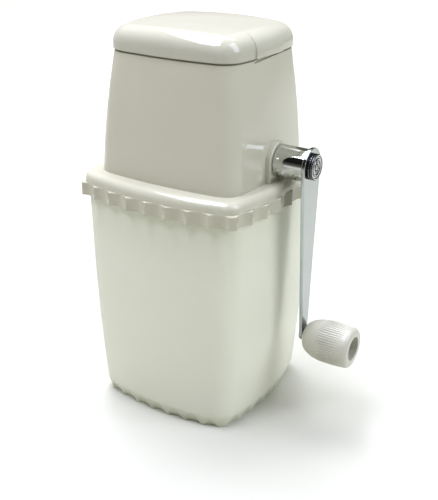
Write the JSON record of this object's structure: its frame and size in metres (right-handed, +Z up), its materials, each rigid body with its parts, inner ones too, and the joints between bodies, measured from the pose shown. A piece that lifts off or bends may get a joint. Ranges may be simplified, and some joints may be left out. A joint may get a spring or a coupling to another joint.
{
  "type": "hand crank ice crusher",
  "caption": "Table-top ice crusher with a hinged lid over a tapered feed tower, a side crank with a ribbed knob, and a lift-off translucent ice container.",
  "frame": {"origin": "centre of the container's foot, on the surface it stands on", "axes": "+Z up, +X along the crank shaft towards the crank, -Y is the front"},
  "size_m": [0.1689, 0.124, 0.2413],
  "materials": {
    "ivory_gloss": "high-gloss injection moulded, ivory white",
    "ivory_knob": "satin-gloss injection moulded, ivory white",
    "frosted_clear": "frosted translucent with a faint green-grey tint",
    "white_inner": "satin moulded",
    "chrome": "polished chrome plate",
    "blade_steel": "stamped stainless steel, fine grain",
    "plated_steel": "bright zinc plated",
    "nylon": "natural nylon"
  },
  "bodies": {
    "container": {"ice_container": "frosted_clear"},
    "housing": {"housing_shell": "ivory_gloss", "lid_hinge_pin": "plated_steel", "feed_hopper": "white_inner", "blade_frame": "white_inner", "frame_screws": "plated_steel", "fine_comb": "blade_steel", "coarse_comb": "blade_steel", "comb_screws": "plated_steel", "crank_bearing": "nylon", "end_bearing": "nylon"},
    "lid": {"lid": "ivory_gloss"},
    "crank": {"drive_shaft": "plated_steel", "rotor_blade_1": "blade_steel", "rotor_blade_2": "blade_steel", "rotor_blade_3": "blade_steel", "rotor_blade_4": "blade_steel", "rotor_blade_5": "blade_steel", "rotor_blade_6": "blade_steel", "rotor_blade_7": "blade_steel", "rotor_spacers": "plated_steel", "thrust_washer": "nylon", "shaft_clip": "plated_steel", "crank_hub": "chrome", "crank_arm": "chrome", "cap_screw": "chrome", "knob_rivet": "chrome", "knob_washer": "chrome"},
    "knob": {"crank_knob": "ivory_knob"}
  },
  "joints": [
    {"name": "housing_lift", "type": "slide", "parent": "container", "child": "housing", "axis": [0, 0, 1], "range_m": [0, 0.03]},
    {"name": "lid_hinge", "type": "hinge", "parent": "housing", "child": "lid", "pos_m": [0, 0.04525, 0.22565], "axis": [-1, 0, 0], "range_deg": [0, 105]},
    {"name": "crank_spin", "type": "hinge", "parent": "housing", "child": "crank", "pos_m": [0, 0, 0.1654], "axis": [1, 0, 0], "continuous": true},
    {"name": "knob_spin", "type": "hinge", "parent": "crank", "child": "knob", "pos_m": [0.0749, 0.0037, 0.05386], "axis": [1, 0, 0], "continuous": true}
  ]
}
